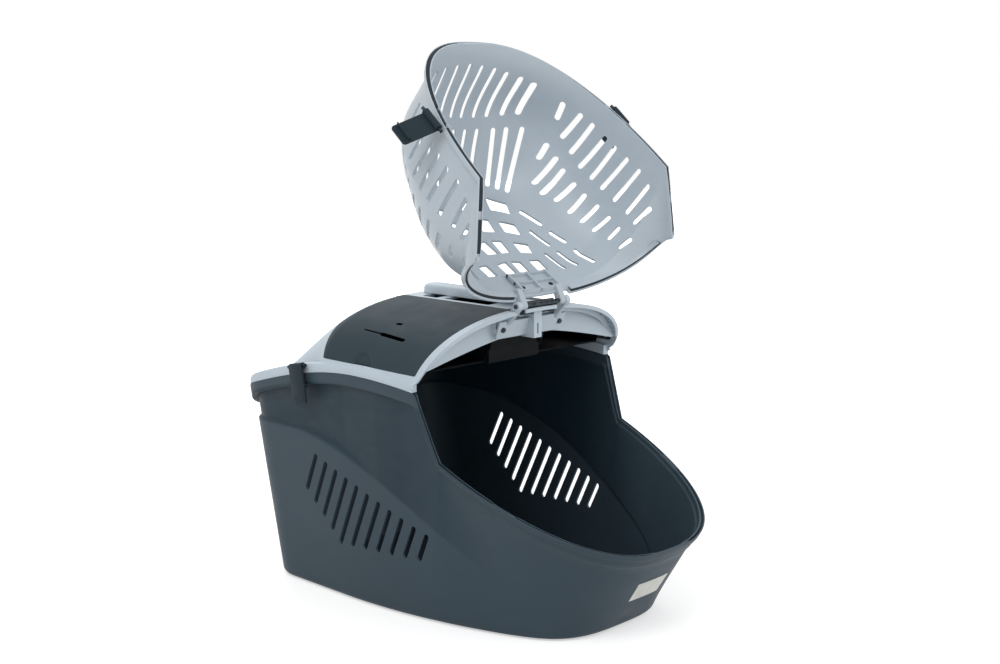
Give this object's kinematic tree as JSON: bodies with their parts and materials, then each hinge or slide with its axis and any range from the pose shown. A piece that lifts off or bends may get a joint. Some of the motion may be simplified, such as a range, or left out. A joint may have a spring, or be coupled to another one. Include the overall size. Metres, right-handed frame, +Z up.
{
  "type": "small-pet carrier",
  "caption": "Deep plastic pet carrier with a domed storage-bin cover and a slotted front lid that swings up and back, with clips.",
  "frame": {"origin": "middle of the footprint, on the surface that the carrier stands on", "axes": "+X towards the low front, +Y to the carrier's left, +Z up"},
  "size_m": [0.5473, 0.3735, 0.6403],
  "materials": {
    "tub_plastic": "fine moulded grain, slate grey",
    "cover_plastic": "satin, pale blue-grey",
    "lid_plastic": "satin, light blue-grey, slightly translucent in thin walls",
    "bin_lid_plastic": "satin, slate grey",
    "clip_plastic": "satin, near black",
    "steel": "plated",
    "sticker_paper": "coated paper"
  },
  "bodies": {
    "tub_and_cover": {"tub": "tub_plastic", "cover_frame": "cover_plastic", "bin_tray": "tub_plastic", "bin_lid_pin_left": "steel", "bin_lid_pin_right": "steel", "grip": "cover_plastic", "grip_screws": "steel", "hinge_block": "cover_plastic", "hinge_block_screws": "steel", "hinge_pin": "steel", "cover_clip_pin_left": "steel", "cover_clip_pin_right": "steel", "sticker": "sticker_paper"},
    "front_lid": {"front_lid": "lid_plastic", "lid_hinge_bracket": "lid_plastic", "bracket_screws": "steel", "front_clip_pin_left": "steel", "front_clip_pin_right": "steel"},
    "bin_lid_left": {"bin_lid_left": "bin_lid_plastic"},
    "bin_lid_right": {"bin_lid_right": "bin_lid_plastic"},
    "front_clip_left": {"front_clip_left": "clip_plastic"},
    "front_clip_right": {"front_clip_right": "clip_plastic"},
    "cover_clip_left": {"cover_clip_left": "clip_plastic"},
    "cover_clip_right": {"cover_clip_right": "clip_plastic"}
  },
  "joints": [
    {"name": "front_lid_hinge", "type": "hinge", "parent": "tub_and_cover", "child": "front_lid", "pos_m": [0.083, 0, 0.35], "axis": [0, 1, 0], "range_deg": [0, 162.4]},
    {"name": "bin_lid_left_hinge", "type": "hinge", "parent": "tub_and_cover", "child": "bin_lid_left", "pos_m": [-0.03, 0.0402, 0.3424], "axis": [1, 0, 0], "range_deg": [0, 30]},
    {"name": "bin_lid_right_hinge", "type": "hinge", "parent": "tub_and_cover", "child": "bin_lid_right", "pos_m": [-0.03, -0.0402, 0.3424], "axis": [1, 0, 0], "range_deg": [-30, 0]},
    {"name": "front_clip_left_pivot", "type": "hinge", "parent": "front_lid", "child": "front_clip_left", "pos_m": [0.0675, 0.15336, 0.55578], "axis": [-0.7561, 0, 0.6544], "range_deg": [-185, 0]},
    {"name": "front_clip_right_pivot", "type": "hinge", "parent": "front_lid", "child": "front_clip_right", "pos_m": [0.0675, -0.15336, 0.55578], "axis": [-0.7561, 0, 0.6544], "range_deg": [-50, 135]},
    {"name": "cover_clip_left_pivot", "type": "hinge", "parent": "tub_and_cover", "child": "cover_clip_left", "pos_m": [-0.145, 0.1702, 0.27095], "axis": [0.9816, 0, 0.1908], "range_deg": [0, 100]},
    {"name": "cover_clip_right_pivot", "type": "hinge", "parent": "tub_and_cover", "child": "cover_clip_right", "pos_m": [-0.145, -0.1702, 0.27095], "axis": [0.9816, 0, 0.1908], "range_deg": [-100, 0]}
  ]
}
